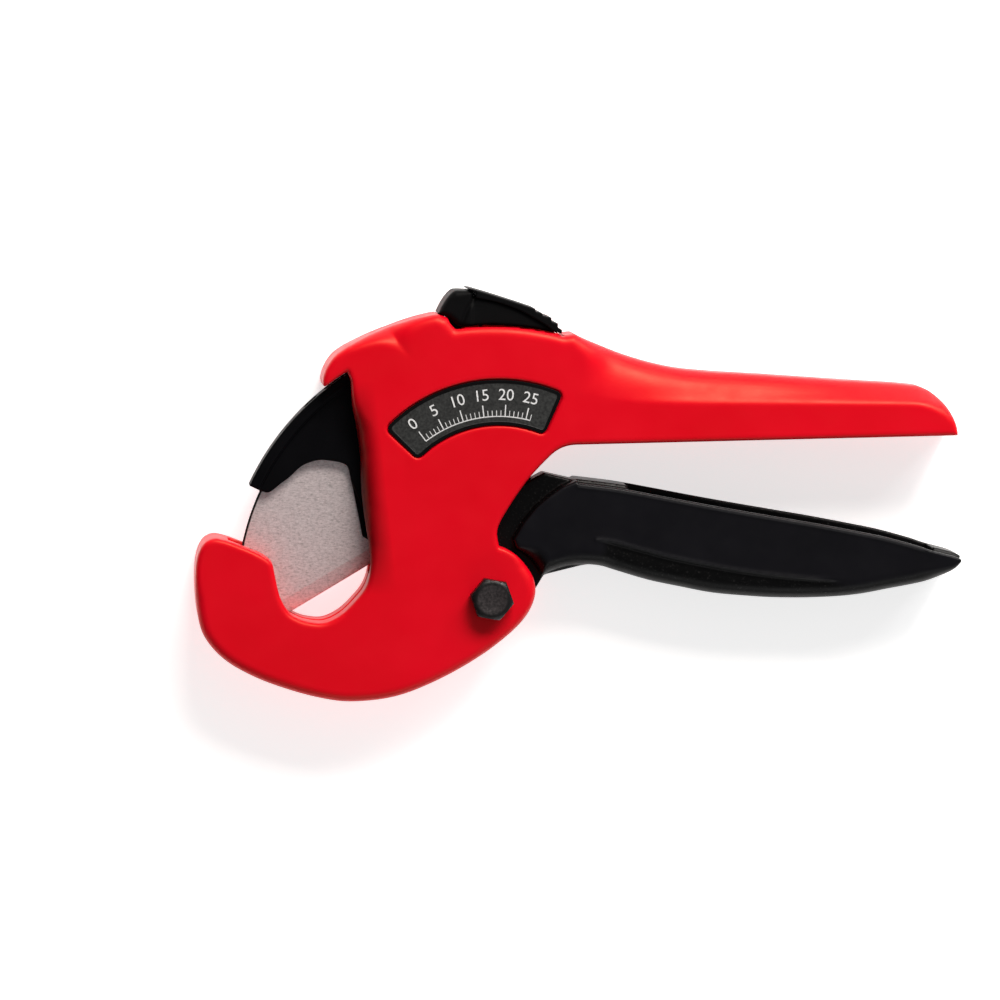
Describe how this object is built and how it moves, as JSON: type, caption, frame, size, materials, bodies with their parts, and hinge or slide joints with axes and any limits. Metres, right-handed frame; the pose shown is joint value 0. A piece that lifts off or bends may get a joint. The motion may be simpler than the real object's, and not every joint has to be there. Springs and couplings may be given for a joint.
{
  "type": "ratchet plastic pipe cutter",
  "caption": "One-hand ratchet shears for plastic pipe: red hook-nosed housing, black blade carrier with a flat steel blade, black squeeze handle and a thumb release lever.",
  "frame": {"origin": "middle of the tool's outline, on the plane of its flat far side", "axes": "+X towards the ends of the handles, +Y from the hook towards the thumb lever, +Z the thickness, towards the side with the bolt head; all four hinge axes are +Z"},
  "size_m": [0.2007, 0.107, 0.0243],
  "materials": {
    "red_enamel": "satin red enamel on a die-cast housing",
    "black_enamel": "satin black enamel on die castings",
    "black_plastic": "moulded black plastic",
    "plate_print": "fine-grained dark grey plate",
    "blade_steel": "ground satin steel",
    "black_oxide": "blackened steel",
    "spring_wire": "bright spring steel and hardened pins",
    "bronze": "plain bearing bronze"
  },
  "bodies": {
    "frame": {"housing": "red_enamel", "name_plate_near": "plate_print", "name_plate_far": "plate_print", "pivot_bolt": "black_oxide", "pivot_nut": "black_oxide", "pivot_sleeve": "spring_wire", "lever_pin": "spring_wire", "lever_spring": "spring_wire", "handle_spring": "spring_wire", "return_spring": "spring_wire", "stop_pin": "spring_wire", "spring_anchor_pin": "spring_wire"},
    "blade": {"blade_carrier": "black_enamel", "blade": "blade_steel", "blade_screw_front": "black_oxide", "blade_screw_rear": "black_oxide", "carrier_bush": "bronze"},
    "handle": {"lower_handle": "black_enamel", "drive_pawl_pin": "spring_wire", "drive_pawl_spring": "spring_wire"},
    "drive_pawl": {"drive_pawl": "spring_wire"},
    "thumb_lever": {"release_lever": "black_plastic", "thumb_pad": "black_plastic"}
  },
  "joints": [
    {"name": "blade_pivot", "type": "hinge", "parent": "frame", "child": "blade", "pos_m": [-0.0235, -0.02675, 0.01], "axis": [0, 0, 1], "range_deg": [-36, 12], "deforming": ["return_spring"]},
    {"name": "handle_pivot", "type": "hinge", "parent": "frame", "child": "handle", "pos_m": [-0.0235, -0.02675, 0.01], "axis": [0, 0, 1], "range_deg": [-12, 12], "stiffness_Nm_per_rad": 0.6, "springref_deg": -12, "deforming": ["handle_spring"]},
    {"name": "pawl_pivot", "type": "hinge", "parent": "handle", "child": "drive_pawl", "pos_m": [-0.00331, -0.00777, 0.01], "axis": [0, 0, 1], "range_deg": [-15, 0], "stiffness_Nm_per_rad": 0.02, "springref_deg": 5.73, "deforming": ["drive_pawl_spring"]},
    {"name": "thumb_lever_pivot", "type": "hinge", "parent": "frame", "child": "thumb_lever", "pos_m": [-0.023, 0.04625, 0.01], "axis": [0, 0, 1], "range_deg": [-6, 0], "stiffness_Nm_per_rad": 0.05, "springref_deg": 5.73, "deforming": ["lever_spring"]}
  ]
}
